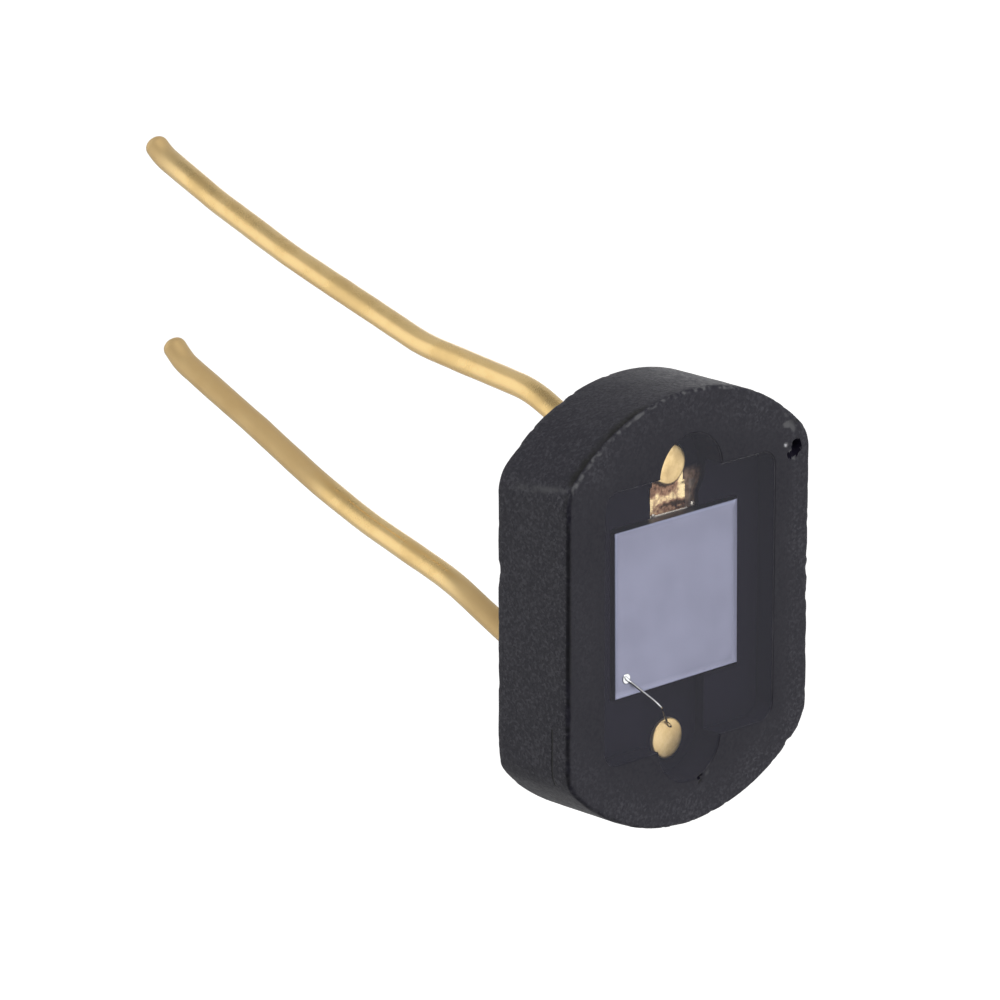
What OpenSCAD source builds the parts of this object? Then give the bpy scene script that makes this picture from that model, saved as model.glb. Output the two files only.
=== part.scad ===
// Silicon photodiode with two gold leads.
// A black ceramic body, round at both ends and flat at both sides, holds a square silicon die
// in a stepped recess under clear resin. The die lies on a gold strap that the upper lead's
// nail head holds down, and a bond wire joins its contact to the lower lead's head.
// Origin at the centre of the back face, +Z out of the light-sensitive face, +Y towards the
// cathode lead, in millimetres.

/* [Body] */
// Length of the body over its round ends
body_l = 8; // [7.6:0.1:9]
// Width of the body across its flats
body_w = 6; // [5.4:0.1:6.4]
// Thickness of the body
body_t = 1.8; // [1.6:0.05:2.4]
// Radius between a flat and a round end
corner_r = 0.7; // [0.5:0.05:1]
// Rounding of the front and back edges
edge_r = 0.08; // [0.06:0.01:0.25]

/* [Recess] */
// Width of the recess in the front face
recess_w = 4.2; // [3.8:0.1:4.6]
// Length of the recess between its straight ends
recess_l = 5; // [4.6:0.1:5.4]
// Radius of the recess's corners
recess_corner_r = 0.3; // [0.1:0.05:0.5]
// Depth of the recess below the rim
recess_d = 0.8; // [0.5:0.05:0.95]
// Radius of the well round each lead's head
well_r = 0.77; // [0.66:0.01:0.9]
// Distance of each well's centre from the middle of the body
well_y = 2.43; // [2.3:0.01:2.55]
// Depth of the wells, their slots and the die's pocket below the rim
well_d = 1.2; // [1.05:0.05:1.35]
// Room round the die in its pocket
pocket_gap = 0.05; // [0.03:0.01:0.12]
// Room beside the gold strap in its slot
slot_gap = 0.18; // [0.08:0.01:0.22]
// Drop of the clear resin's face below the rim
resin_drop = 0.02; // [0.01:0.01:0.1]

/* [Leads] */
// Distance between the two leads
lead_pitch = 5.08; // [4.9:0.02:5.3]
// Diameter of a lead
lead_d = 0.45; // [0.35:0.01:0.55]
// Diameter of a lead's nail head
head_d = 0.76; // [0.66:0.01:0.9]
// Thickness of a lead's nail head
head_t = 0.15; // [0.08:0.01:0.2]
// Rounding of a nail head's edge
head_edge_r = 0.04; // [0.01:0.01:0.06]
// Room between a lead and its hole
lead_gap = 0.02; // [0.01:0.01:0.05]
// Length of the cathode lead behind the body, along the wire
cathode_l = 13.05; // [12:0.05:20]
// Length of the anode lead behind the body, along the wire
anode_l = 13; // [11.5:0.05:20]
// Rounding of the cut ends of the leads
tip_r = 0.1; // [0.02:0.01:0.16]

/* [Die] */
// Side of the square silicon die
die_w = 3.05; // [2.6:0.05:3.2]
// Thickness of the die
die_t = 0.45; // [0.25:0.05:0.5]
// Offset of the die towards the cathode lead
die_y = 0.1; // [0:0.05:0.15]
// Thickness of the conductive cement under the die
cement_t = 0.03; // [0.01:0.01:0.05]
// Margin of the cement and the strap's pad inside the die's edge
cement_margin = 0.1; // [0.05:0.05:0.3]
// Width of the gold strap between the cathode lead and the die
strap_w = 0.84; // [0.78:0.02:1]
// Thickness of the gold strap
strap_t = 0.06; // [0.03:0.01:0.08]

/* [Bond wire] */
// Diameter of the round contact on the die
contact_d = 0.2; // [0.14:0.01:0.3]
// Thickness of the contact
contact_t = 0.02; // [0.01:0.01:0.04]
// Distance of the contact from the die's left edge
contact_in_x = 0.29; // [0.2:0.01:0.5]
// Distance of the contact from the die's lower edge
contact_in_y = 0.32; // [0.2:0.01:0.5]
// Diameter of the bond wire
wire_d = 0.05; // [0.03:0.005:0.06]
// Diameter of the pressed foot at each end of the bond wire
foot_d = 0.1; // [0.08:0.01:0.12]
// Thickness of a pressed foot
foot_t = 0.02; // [0.01:0.005:0.03]
// Distance of the landing foot to the right of the anode lead's axis
landing_right = 0.04; // [-0.1:0.01:0.1]
// Distance of the landing foot from the anode lead's axis towards the die
landing_up = 0.24; // [0.05:0.01:0.26]
// Height of the wire's knee above the contact
knee_h = 0.4; // [0.2:0.02:0.5]
// Distance of the knee from the contact, along the wire's run
knee_run = 0.9; // [0.6:0.05:1.1]
// Bend radius at the knee
knee_r = 0.12; // [0.06:0.01:0.2]

/* [Chipped spots] */
// Distance of the chipped spot by the upper right corner in from the flat
chip_out_in = 0.4; // [0.25:0.01:0.6]
// Distance of that chipped spot up from the middle of the body
chip_out_up = 2.42; // [1.5:0.01:2.6]
// Width of that chipped spot
chip_out_w = 0.3; // [0.1:0.02:0.36]
// Depth of that chipped spot
chip_out_d = 0.2; // [0.05:0.01:0.3]
// Direction of the small pit in the edge of the lower well, in degrees from its lowest point
pit_turn = 28; // [0:1:60]
// Radius of that pit
pit_r = 0.07; // [0.03:0.01:0.1]

/* [Hidden] */
$fn = 64;

// Bends behind the body, each with the straight run before it, its turn towards +Y in degrees
// and its radius
cathode_bends = [[0.45, 23.5, 1.5], [0.9, -17.5, 2.5], [2.15, 9.5, 4], [3.2, 3, 10], [1.65, 3, 6]];
anode_bends = [[0.05, 24.2, 2.5], [3.2, -9, 5], [1.5, 4.5, 12], [0.6, 4, 12], [1.25, -1.5, 8]];

// Corner rounds of the body: their centres, the half angle of a round end between them, and how far
// they stand proud so that they cross the flats and the round ends
end_r = body_l / 2;
corner_x = body_w / 2 - corner_r;
corner_y = sqrt(pow(end_r - corner_r, 2) - pow(corner_x, 2));
end_turn = atan2(corner_x, corner_y);
corner_proud = 0.004;

// Tilt of the chipped spot's flat floor
chip_out_tilt = [28, -18, 20];

// Lap of the straight runs into the bends, and how much thinner a wire is where it is bent
bend_lap = 0.01;
bend_thinning = 0.002;

// How far a cut runs past the surface that it goes through
cut_past = 1;

// Levels above the back face
recess_z = body_t - recess_d;
well_z = body_t - well_d;
resin_z = body_t - resin_drop;
cement_z = well_z + strap_t;
die_z = cement_z + cement_t;
die_top = die_z + die_t;
contact_top = die_top + contact_t;
anode_top = well_z + head_t;

post_y = lead_pitch / 2;
slot_w = strap_w + 2 * slot_gap;
contact_x = contact_in_x - die_w / 2;
contact_y = die_y + contact_in_y - die_w / 2;
landing_x = landing_right;
landing_y = landing_up - post_y;

function bent_length(bends, i = 0) = i == len(bends) ? 0
    : bends[i][0] + bends[i][2] * abs(bends[i][1]) * PI / 180 + bent_length(bends, i + 1);

// Half section of a disc with both edges rounded, to be turned about its axis
module disc_section(r, h, edge) {
    square([r - edge, h]);
    translate([0, edge]) square([r, h - 2 * edge]);
    for (z = [edge, h - edge])
        translate([r - edge, z]) circle(edge);
}

// Cross section of the stretch between the flats
module flats_section() {
    translate([-body_w / 2, edge_r]) square([body_w, body_t - 2 * edge_r]);
    translate([edge_r - body_w / 2, 0]) square([body_w - 2 * edge_r, body_t]);
    for (x = [-1, 1], z = [edge_r, body_t - edge_r])
        translate([x * (body_w / 2 - edge_r), z]) circle(edge_r);
}

// The body before it is hollowed: the stretch between the flats, the two round ends and the four
// corner rounds
module body_blank() {
    rotate([90, 0, 0]) linear_extrude(2 * corner_y, center = true) flats_section();
    for (middle = [90, 270])
        rotate_extrude(angle = 2 * end_turn, start = middle - end_turn) disc_section(end_r, body_t, edge_r);
    for (x = [-1, 1], y = [-1, 1])
        translate([x * corner_x, y * corner_y, 0])
            rotate_extrude() disc_section(corner_r + corner_proud, body_t, edge_r);
}

module rounded_rectangle(w, l, r) {
    square([w - 2 * r, l], center = true);
    square([w, l - 2 * r], center = true);
    for (x = [-1, 1], y = [-1, 1])
        translate([x * (w / 2 - r), y * (l / 2 - r)]) circle(r);
}

module well_rounds() {
    for (end = [-1, 1])
        translate([0, end * well_y]) circle(well_r);
}

// Outline of the recess at the rim
module recess_outline() {
    rounded_rectangle(recess_w, recess_l, recess_corner_r);
    well_rounds();
}

// Outline of the deep level: the die's pocket, the strap's slot and the wells
module deep_outline() {
    well_rounds();
    translate([0, die_y]) square(die_w + 2 * pocket_gap, center = true);
    translate([-slot_w / 2, die_y]) square([slot_w, well_y - die_y]);
    translate([-well_r, -well_y]) square([2 * well_r, well_y + die_y]);
}

// Hollow of the body from its stepped floor up to a given level
module recess_hollow(top) {
    translate([0, 0, recess_z]) linear_extrude(top - recess_z) recess_outline();
    translate([0, 0, well_z]) linear_extrude(top - well_z) deep_outline();
}

module lead_holes() {
    for (end = [-1, 1])
        translate([0, end * post_y, -cut_past]) cylinder(d = lead_d + 2 * lead_gap, h = body_t);
}

// Spots where the brittle body has chipped
module chipped_spots() {
    translate([body_w / 2 - chip_out_in, chip_out_up, body_t])
        rotate(chip_out_tilt)
            cylinder(d = chip_out_w, h = 2 * chip_out_d, center = true, $fn = 5);
    translate([0, -well_y, body_t])
        rotate([0, 0, pit_turn])
            translate([0, -well_r, 0]) sphere(pit_r);
}

module ceramic_body() {
    color([0.05, 0.05, 0.06])
        difference() {
            body_blank();
            recess_hollow(body_t + cut_past);
            lead_holes();
            chipped_spots();
        }
}

// A straight run, which laps into the bends at both of its ends
module wire_run(l) {
    translate([0, 0, -l - bend_lap]) cylinder(d = lead_d, h = l + 2 * bend_lap);
}

// A bend that starts downwards and turns towards +Y, or towards -Y for a negative turn
module wire_bend(turn, r) {
    rotate([0, 0, turn < 0 ? 180 : 0])
        translate([0, r, 0])
            rotate([-90, 0, 0]) rotate([0, 90, 0])
                rotate_extrude(angle = abs(turn)) translate([r, 0]) circle(d = lead_d - bend_thinning);
}

module wire_tip(l) {
    translate([0, 0, -l])
        rotate_extrude() {
            square([lead_d / 2 - tip_r, l]);
            translate([0, tip_r]) square([lead_d / 2, l + bend_lap - tip_r]);
            translate([lead_d / 2 - tip_r, tip_r]) circle(tip_r);
        }
}

// Straight runs and bends in turn, with the tip's straight run last
module bent_wire(bends, tip, i = 0) {
    if (i == len(bends)) {
        wire_tip(tip);
    } else {
        turn = bends[i][1];
        r = bends[i][2];
        wire_run(bends[i][0]);
        translate([0, 0, -bends[i][0]]) {
            wire_bend(turn, r);
            translate([0, sign(turn) * r * (1 - cos(turn)), -r * sin(abs(turn))])
                rotate([turn, 0, 0]) bent_wire(bends, tip, i + 1);
        }
    }
}

// A lead with its nail head seated at a given level
module nail_head_lead(y, seat_z, bends, length) {
    color([0.83, 0.68, 0.38])
        translate([0, y, 0]) {
            translate([0, 0, seat_z]) rotate_extrude() disc_section(head_d / 2, head_t, head_edge_r);
            cylinder(d = lead_d, h = seat_z + bend_lap);
            bent_wire(bends, length - bent_length(bends));
        }
}

module cathode_lead() {
    nail_head_lead(post_y, cement_z, cathode_bends, cathode_l);
}

module anode_lead() {
    nail_head_lead(-post_y, well_z, anode_bends, anode_l);
}

// Flat strap with a round end under the cathode's head and a square pad under the die
module gold_strap() {
    color([0.86, 0.7, 0.38])
        translate([0, 0, well_z])
            linear_extrude(strap_t)
                difference() {
                    union() {
                        translate([0, post_y]) circle(d = head_d);
                        translate([-head_d / 2, die_y]) square([head_d, post_y - die_y]);
                        translate([-strap_w / 2, die_y]) square([strap_w, post_y - head_d / 2 - die_y]);
                        translate([0, die_y]) square(die_w - 2 * cement_margin, center = true);
                    }
                    translate([0, post_y]) circle(d = lead_d);
                }
}

module die_cement() {
    color([0.72, 0.72, 0.74])
        translate([0, die_y, cement_z])
            linear_extrude(cement_t) square(die_w - 2 * cement_margin, center = true);
}

module silicon_die() {
    color([0.45, 0.46, 0.57])
        translate([0, die_y, die_z])
            linear_extrude(die_t) square(die_w, center = true);
}

module die_contact() {
    color([0.9, 0.92, 0.92])
        translate([contact_x, contact_y, die_top]) cylinder(d = contact_d, h = contact_t);
}

// A leg of the bond wire that rises from its foot, cut off flat where it starts
module wire_leg(angle, l) {
    intersection() {
        rotate([0, 0, angle]) rotate([0, 90, 0])
            translate([0, 0, -wire_d]) cylinder(d = wire_d, h = l + wire_d + bend_lap);
        translate([-cut_past, 0, -cut_past]) cube([body_l, body_t, 2 * cut_past]);
    }
}

// The loop is drawn flat, with its run along X and its height along Y, and then stood up
module bond_loop() {
    run = norm([landing_x - contact_x, landing_y - contact_y]);
    drop = contact_top - anode_top;
    rise = atan2(knee_h, knee_run);
    fall = atan2(knee_h + drop, run - knee_run);
    bend = rise + fall;
    tangent = knee_r * tan(bend / 2);
    rise_l = norm([knee_run, knee_h]) - tangent;
    fall_l = norm([run - knee_run, knee_h + drop]) - tangent;
    wire_leg(rise, rise_l);
    translate([rise_l * cos(rise) + knee_r * sin(rise), rise_l * sin(rise) - knee_r * cos(rise)])
        rotate([0, 0, 90 - fall])
            rotate_extrude(angle = bend) translate([knee_r, 0]) circle(d = wire_d - bend_thinning);
    translate([run, -drop])
        mirror([1, 0, 0]) wire_leg(fall, fall_l);
}

module wire_foot(x, y, z) {
    translate([x, y, z]) cylinder(d = foot_d, h = foot_t);
}

module bond_wire() {
    color([0.8, 0.8, 0.82]) {
        translate([contact_x, contact_y, contact_top])
            rotate([0, 0, atan2(landing_y - contact_y, landing_x - contact_x)])
                rotate([90, 0, 0]) bond_loop();
        wire_foot(contact_x, contact_y, contact_top);
        wire_foot(landing_x, landing_y, anode_top);
    }
}

module clear_resin() {
    color([0.85, 0.87, 0.9, 0.3])
        difference() {
            recess_hollow(resin_z);
            cathode_lead();
            anode_lead();
            gold_strap();
            die_cement();
            silicon_die();
            die_contact();
            bond_wire();
        }
}

ceramic_body();
cathode_lead();
anode_lead();
gold_strap();
die_cement();
silicon_die();
die_contact();
bond_wire();
clear_resin();
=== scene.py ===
"""The looks of a silicon photodiode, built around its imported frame.

A black ceramic body with a stepped recess holds two gold nail-head leads, a silicon die on a gold strap,
its contact and its bond wire under clear resin. Every piece is a surface worked out with numpy, in the
frame's own axes and in metres: +Z out of the light-sensitive face, +Y towards the cathode lead.
"""

import bpy
import numpy as np
from bpy.props import FloatProperty, FloatVectorProperty, PointerProperty
from mathutils import Matrix, Vector


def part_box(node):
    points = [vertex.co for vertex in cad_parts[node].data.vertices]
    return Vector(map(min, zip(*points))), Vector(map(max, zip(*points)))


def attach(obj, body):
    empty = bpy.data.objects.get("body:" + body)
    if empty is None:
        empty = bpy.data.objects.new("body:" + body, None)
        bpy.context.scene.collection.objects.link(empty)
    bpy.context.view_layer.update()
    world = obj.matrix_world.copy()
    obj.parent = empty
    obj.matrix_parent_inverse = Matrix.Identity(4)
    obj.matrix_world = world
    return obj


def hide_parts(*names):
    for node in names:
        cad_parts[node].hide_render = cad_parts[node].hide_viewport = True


bl_info = {
    "name": "Silicon photodiode",
    "version": (1, 0, 0),
    "blender": (4, 5, 0),
    "location": "3D View > Sidebar > Photodiode",
    "description": "Builds the looks of a silicon photodiode in a black ceramic body",
    "category": "Add Mesh",
}

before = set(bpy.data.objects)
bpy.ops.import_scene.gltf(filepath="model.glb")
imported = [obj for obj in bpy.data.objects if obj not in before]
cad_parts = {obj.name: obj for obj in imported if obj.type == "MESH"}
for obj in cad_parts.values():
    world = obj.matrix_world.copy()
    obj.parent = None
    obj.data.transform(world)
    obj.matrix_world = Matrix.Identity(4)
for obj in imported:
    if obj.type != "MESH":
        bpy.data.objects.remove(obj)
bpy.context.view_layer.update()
BODY_LOW, BODY_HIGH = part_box("ceramic_body")
RESIN_LOW, RESIN_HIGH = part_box("clear_resin")
DIE_LOW, DIE_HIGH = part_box("silicon_die")
CEMENT_LOW, CEMENT_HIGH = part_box("die_cement")
STRAP_LOW, STRAP_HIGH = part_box("gold_strap")
CONTACT_LOW, CONTACT_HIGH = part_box("die_contact")
_, CATHODE_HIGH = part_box("cathode_lead")
_, ANODE_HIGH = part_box("anode_lead")
MM = 0.001

# Bends of the leads behind the body: the straight run before each in mm, its turn towards +Y in degrees and
# its radius in mm. The last is the curl of the tip
CATHODE_BENDS = [
    (0.45, 23.5, 1.5),
    (0.9, -17.5, 2.5),
    (2.15, 9.5, 4.0),
    (3.2, 3.0, 10.0),
    (1.65, 3.0, 6.0),
    (1.34, 18.0, 1.1),
]
ANODE_BENDS = [
    (0.05, 24.2, 2.5),
    (3.2, -9.0, 5.0),
    (1.5, 4.5, 12.0),
    (0.6, 4.0, 12.0),
    (1.25, -1.5, 8.0),
    (1.97, 19.0, 1.0),
]
# Dull stretches of the leads: a low and a high place along Z in mm
CATHODE_DULL = [(-14.0, -11.9)]
ANODE_DULL = [(-14.0, -7.7), (-4.1, 0.58)]
# Step along a lead's bent wire, and rise of a nail head towards its middle
WIRE_STEP = 0.06 * MM
HEAD_DOME = 0.012 * MM
# Half height of the bond wire's pressed feet, so also the height of their middle above what they lie on
FOOT_RISE = 0.012 * MM
# Drops of cement beside the die's upper edge: place and radius in mm, and their height to their width
CEMENT_DROPS = ((0.545, 1.705, 0.82, 0.058), (-0.37, 1.65, 0.7, 0.04))
DROP_FLATNESS = 0.35
# How far the resin sinks into the recess's walls, and how far its face is drawn up at its edge
RESIN_SINK = 0.004 * MM
MENISCUS = 0.004 * MM
# Lowest and highest corner of the scratch on the left flat, in mm
SCRATCH_LOW = (-3.1, -2.7, 1.385)
SCRATCH_HIGH = (-2.9, -1.65, 1.42)
# Seam across the left flat: its place along Y at the body's back, how far it slants along Y for its height,
# and its half width
SEAM_PLACE = 2.475 * MM
SEAM_SLOPE = 0.15
SEAM_WIDTH = 0.06 * MM
# Width in mm of the border of the die's face
DIE_BORDER = 0.045
# Colour of hollows in the ceramic, and of the shade painted on the body
HOLLOW_AND_SHADE = (0.001, 0.001, 0.001)
# Length of the outline on either side of the pocket's corners that has points of its own
POCKET_CORNER = 0.3 * MM

# Points along each stretch of the recess's outline, which the deep outline shares
WELL_STEPS = 44
END_STEPS = 48
CORNER_STEPS = 12
SIDE_STEPS = 110
# Rings of the body's surface on each of its faces
BACK_RINGS = 12
EDGE_RINGS = 7
FLANK_RINGS = 22
RIM_RINGS = 26
WALL_RINGS = 8
FLOOR_RINGS = 8
# Points round a wire, and rings on the straight run at its tip
WIRE_SIDES = 56
TIP_RINGS = 18
# Points along and across the strap's bare stretch
STRAP_STEPS = 40
STRAP_COLUMNS = 41
# Points along each side of the die and of its cement, and round a drop of cement and the contact
DIE_STEPS = 48
CEMENT_STEPS = 96
DROP_SIDES = 24
CONTACT_SIDES = 48
# Points along a foot, a leg and the knee of the bond wire, and round it
FOOT_STEPS = 10
LEG_STEPS = 30
KNEE_STEPS = 24
BOND_SIDES = 20
# Rings of the resin's face and of each of its walls
RESIN_FACE_RINGS = 24
RESIN_WALL_RINGS = 3
# Points that lie closer than this are one
WELD_DISTANCE = 1e-8
# Lengths and shares below this count as none
TINY = 1e-7
SHARP_ANGLE = np.radians(32)
# Large odd numbers that scatter the values at the corners of the noise's lattice
HASH_AXES = np.array([73856093, 19349663, 83492791])
HASH_SEED = 2654435761
HASH_MIX = 1274126177


def size(name, description, millimetres):
    """A length of the part, given in mm and held in metres."""
    return FloatProperty(
        name=name, description=description, default=millimetres * MM, unit="LENGTH", precision=6
    )


def tint(name, description, colour):
    """A colour of the part, as linear red, green and blue."""
    return FloatVectorProperty(
        name=name, description=description, default=colour, subtype="COLOR", min=0, max=1
    )


def rotation(name, description, degrees):
    """An angle, given in degrees and held in radians."""
    return FloatProperty(name=name, description=description, default=np.radians(degrees), subtype="ANGLE")


class BodySizes(bpy.types.PropertyGroup):
    """Sizes of the ceramic body and of its recess."""

    width: size("Width", "Across the flats", 6.0)
    corner: size("Corner radius", "Between a flat and a round end", 0.7)
    edge: size("Edge radius", "Rounding of the front and back edges", 0.08)
    recess_width: size("Recess width", "Across the recess at the rim", 4.2)
    recess_length: size("Recess length", "Between the recess's straight ends", 5.0)
    recess_corner: size("Recess corner", "Radius of the recess's corners", 0.3)
    recess_floor: size("Recess floor", "Height of the upper floor above the back", 1.0)
    well: size("Well radius", "Round each lead's head", 0.77)
    well_place: size("Well place", "From the middle of the body to a well's centre", 2.43)
    pocket_gap: size("Pocket gap", "Room round the die in its pocket", 0.05)
    slot: size("Slot width", "Across the strap's slot", 1.2)
    hole: size("Hole diameter", "Of the holes that the leads go through", 0.49)
    roughness: size("Roughness", "Height of the fired surface's unevenness", 0.004)
    wear: size("Wear", "Depth of the small breaks along the edges", 0.022)


class LeadSizes(bpy.types.PropertyGroup):
    """Sizes of the two leads."""

    pitch: size("Pitch", "Between the leads' axes", 5.08)
    wire: size("Wire diameter", "Of a lead", 0.45)
    head: size("Head diameter", "Of a nail head", 0.76)
    head_height: size("Head height", "Of a nail head", 0.15)
    head_edge: size("Head edge", "Rounding of a nail head's edge", 0.04)
    tip: size("Tip rounding", "Of the cut ends", 0.17)
    cathode_length: size("Cathode length", "Behind the body, along the wire", 13.14)
    anode_length: size("Anode length", "Behind the body, along the wire", 13.08)


class DieSizes(bpy.types.PropertyGroup):
    """Sizes of the die, its strap, its contact and its bond wire."""

    bevel: size("Die bevel", "Broken edge round the die's face", 0.012)
    die_turn: rotation("Die turn", "Of the die in its pocket", 0.6)
    strap_width: size("Strap width", "Between the head and the die", 0.84)
    strap_relief: size("Strap relief", "Height of the strap's pressed surface", 0.03)
    bead: size("Cement bead", "Cement squeezed out past the die's upper edge", 0.024)
    wire: size("Bond wire diameter", "Of the bond wire", 0.05)
    foot: size("Foot width", "Of the bond wire's pressed ends", 0.065)
    foot_length: size("Foot length", "Of the bond wire's pressed ends", 0.16)
    knee_height: size("Knee height", "Of the bond wire above the contact", 0.4)
    knee_run: size("Knee run", "From the contact to the knee, along the wire's run", 0.9)
    knee_radius: size("Knee radius", "Bend radius at the knee", 0.12)
    landing_right: size("Landing right", "Landing foot to the right of the anode's axis", 0.04)
    landing_up: size("Landing up", "Landing foot from the anode's axis towards the die", 0.24)


class Finishes(bpy.types.PropertyGroup):
    """Colours of the materials."""

    ceramic: tint("Ceramic", "Black ceramic", (0.0115, 0.0105, 0.02))
    grain: tint("Grain", "Light grains in the ceramic", (0.083, 0.081, 0.097))
    broken: tint("Broken ceramic", "Small breaks of the ceramic", (0.11, 0.11, 0.118))
    wetted: tint("Wetted ceramic", "Black ceramic under the resin", (0.0075, 0.0063, 0.0135))
    smear: tint("Smear", "Brown residue on the slot's wall", (0.6, 0.41, 0.29))
    gold: tint("Gold", "Gold plating", (0.9, 0.65, 0.3))
    warm_gold: tint("Warm gold", "Warmer patches of the plating", (0.88, 0.61, 0.25))
    worn_gold: tint("Worn gold", "Dull stretches of the plating", (0.79, 0.59, 0.3))
    pale_gold: tint("Pale gold", "Worn heads of the leads", (0.95, 0.8, 0.54))
    strap_gold: tint("Strap gold", "Bare parts of the strap", (0.86, 0.67, 0.37))
    strap_brown: tint("Brown strap", "Reddish stains of the strap", (0.36, 0.195, 0.12))
    strap_dark_and_shade: tint("Dark strap", "Dark stains of the strap", (0.06, 0.035, 0.02))
    cement: tint("Cement", "Silver-filled cement", (0.92, 0.85, 0.74))
    silicon: tint("Silicon", "Anti-reflective coat of the die", (0.285, 0.29, 0.395))
    street: tint("Street", "Sawn border of the die", (0.31, 0.33, 0.46))
    bright: tint("Bright metal", "Contact and bond wire", (0.86, 0.87, 0.88))
    floor: tint("Floor", "Pale floor", (0.8, 0.8, 0.8))


class StageSettings(bpy.types.PropertyGroup):
    """Camera, light and floor."""

    yaw: rotation("Yaw", "Camera's turn towards the left of the front face", 43.63)
    pitch: rotation("Pitch", "Camera's height above the front axis", 16.4)
    distance: size("Distance", "From the camera to the plane through the origin", 115.65)
    shift_right: size("Shift right", "Of the origin in the picture", 2.113)
    shift_up: size("Shift up", "Of the origin in the picture", -1.542)
    lens: FloatProperty(
        name="Lens", description="Focal length for a 36 mm wide picture", default=234.0, unit="CAMERA"
    )
    floor_drop: size("Floor drop", "Of the floor below the origin", 160.0)
    floor_size: size("Floor size", "Across the floor", 1000.0)
    ambient: FloatProperty(
        name="Ambient", description="Brightness of the studio away from its soft boxes", default=0.55, min=0
    )


# Numpy surfaces


def line(start, stop, count):
    """Points evenly spaced from start to stop, without stop."""
    return np.linspace(start, stop, count, endpoint=False)


def arc(centre, radius, start, stop, count):
    """Points on a circle from one angle to another, in degrees, without the last."""
    angle = np.radians(line(start, stop, count))
    return np.stack([centre[0] + radius * np.cos(angle), centre[1] + radius * np.sin(angle)], axis=1)


def mirrored(half):
    """A closed outline from its right half, which runs from its lowest point up to its highest."""
    return np.concatenate([half, half[-2:0:-1] * (-1, 1)])


def ring(outline, z):
    """An outline lifted to a height, or to a height for each of its points."""
    return np.column_stack([outline, np.broadcast_to(z, len(outline))])


def between(first, last, rings):
    """Rings that blend from first to last in even steps, without last."""
    share = line(0, 1, rings)[:, None, None]
    return first + (last - first) * share


def grown(outline, distance):
    """An outline moved outwards along its own normal."""
    along = np.roll(outline, -1, axis=0) - np.roll(outline, 1, axis=0)
    normal = np.column_stack([along[:, 1], -along[:, 0]])
    return outline + normal / np.linalg.norm(normal, axis=1, keepdims=True) * distance


def spine(outline, reach):
    """For each point of an outline, a point on the Y axis that lies a little nearer to the middle."""
    return np.column_stack([np.zeros(len(outline)), 0.9 * np.clip(outline[:, 1], -reach, reach)])


def lathe(radius, height, sides):
    """A profile turned about Z: a ring of points for each radius and height."""
    angle = line(0, 2 * np.pi, sides)
    circle = np.stack([np.cos(angle), np.sin(angle), np.zeros(sides)], axis=1)
    return circle * np.reshape(radius, (-1, 1, 1)) + np.reshape(height, (-1, 1, 1)) * np.array([0, 0, 1])


def sweep(path, across, half_width, half_height, sides):
    """A tube whose section is an ellipse: half_width along across, half_height along path's other normal."""
    tangent = np.gradient(path, axis=0)
    tangent /= np.linalg.norm(tangent, axis=1, keepdims=True)
    upright = np.cross(tangent, across)
    angle = line(0, 2 * np.pi, sides)
    width = np.reshape(half_width, (-1, 1, 1)) * np.cos(angle)[None, :, None] * across
    height = np.reshape(half_height, (-1, 1, 1)) * np.sin(angle)[None, :, None] * upright[:, None, :]
    return path[:, None, :] + width + height


def noise(points, cell, seed):
    """Smooth value noise from -1 to 1: hashed numbers at the corners of a lattice, blended in between."""
    place = points / cell
    base = np.floor(place).astype(np.int64)
    part = place - base
    part = part * part * (3 - 2 * part)
    total = np.zeros(len(points))
    for corner in np.ndindex(2, 2, 2):
        hashed = (base + corner) @ HASH_AXES + seed * HASH_SEED
        hashed = (hashed ^ (hashed >> 13)) * HASH_MIX
        value = ((hashed >> 8) & 0xFFFF) / 32767.5 - 1
        total += value * np.prod(np.where(corner, part, 1 - part), axis=1)
    return total


def smooth_step(low, high, value):
    """0 below low, 1 above high, and a smooth rise between."""
    share = np.clip((value - low) / (high - low), 0, 1)
    return share * share * (3 - 2 * share)


def grid_quads(rows, columns):
    """Corners of the quads of a grid that closes on itself along its columns."""
    index = np.arange(rows * columns).reshape(rows, columns)
    right = np.roll(index, -1, axis=1)
    return np.stack([index[:-1], right[:-1], right[1:], index[1:]], axis=-1).reshape(-1, 4)


def welded(points, quads):
    """Points with the ones that coincide joined, and the quads and triangles that are left."""
    keys = np.round(points / WELD_DISTANCE).astype(np.int64)
    _, first, where = np.unique(keys, axis=0, return_index=True, return_inverse=True)
    faces = where.reshape(-1)[quads]
    kept = faces != np.roll(faces, -1, axis=1)
    corners = kept.sum(axis=1)
    triangles = faces[corners == 3][kept[corners == 3]].reshape(-1, 3)
    return points[first], faces[corners == 4], triangles


def volume(points, quads, triangles):
    """Signed volume inside a closed surface, which is positive where its faces point outwards."""
    faces = np.concatenate([quads[:, [0, 1, 2]], quads[:, [0, 2, 3]], triangles])
    a, b, c = (points[faces[:, i]] for i in range(3))
    return np.einsum("ij,ij->", a, np.cross(b, c)) / 6


def require(fits, fault):
    """Stops an operator that can't finish."""
    if not fits:
        raise RuntimeError(fault)


def make_mesh(name, *grids):
    """A mesh from closed grids of rings, with the faces of each turned outwards."""
    corners, faces, count = [], [], 0
    for grid in grids:
        rows, columns = grid.shape[:2]
        points, quads, triangles = welded(grid.reshape(-1, 3), grid_quads(rows, columns))
        if volume(points, quads, triangles) < 0:
            quads, triangles = quads[:, ::-1], triangles[:, ::-1]
        corners.append(points)
        faces += (quads + count).tolist() + (triangles + count).tolist()
        count += len(points)
    mesh = bpy.data.meshes.new(name)
    mesh.from_pydata(np.concatenate(corners).tolist(), [], faces)
    mesh.update()
    require(2 * len(mesh.edges) == len(mesh.loops), f"the surface of {name} isn't closed")
    return mesh


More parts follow.
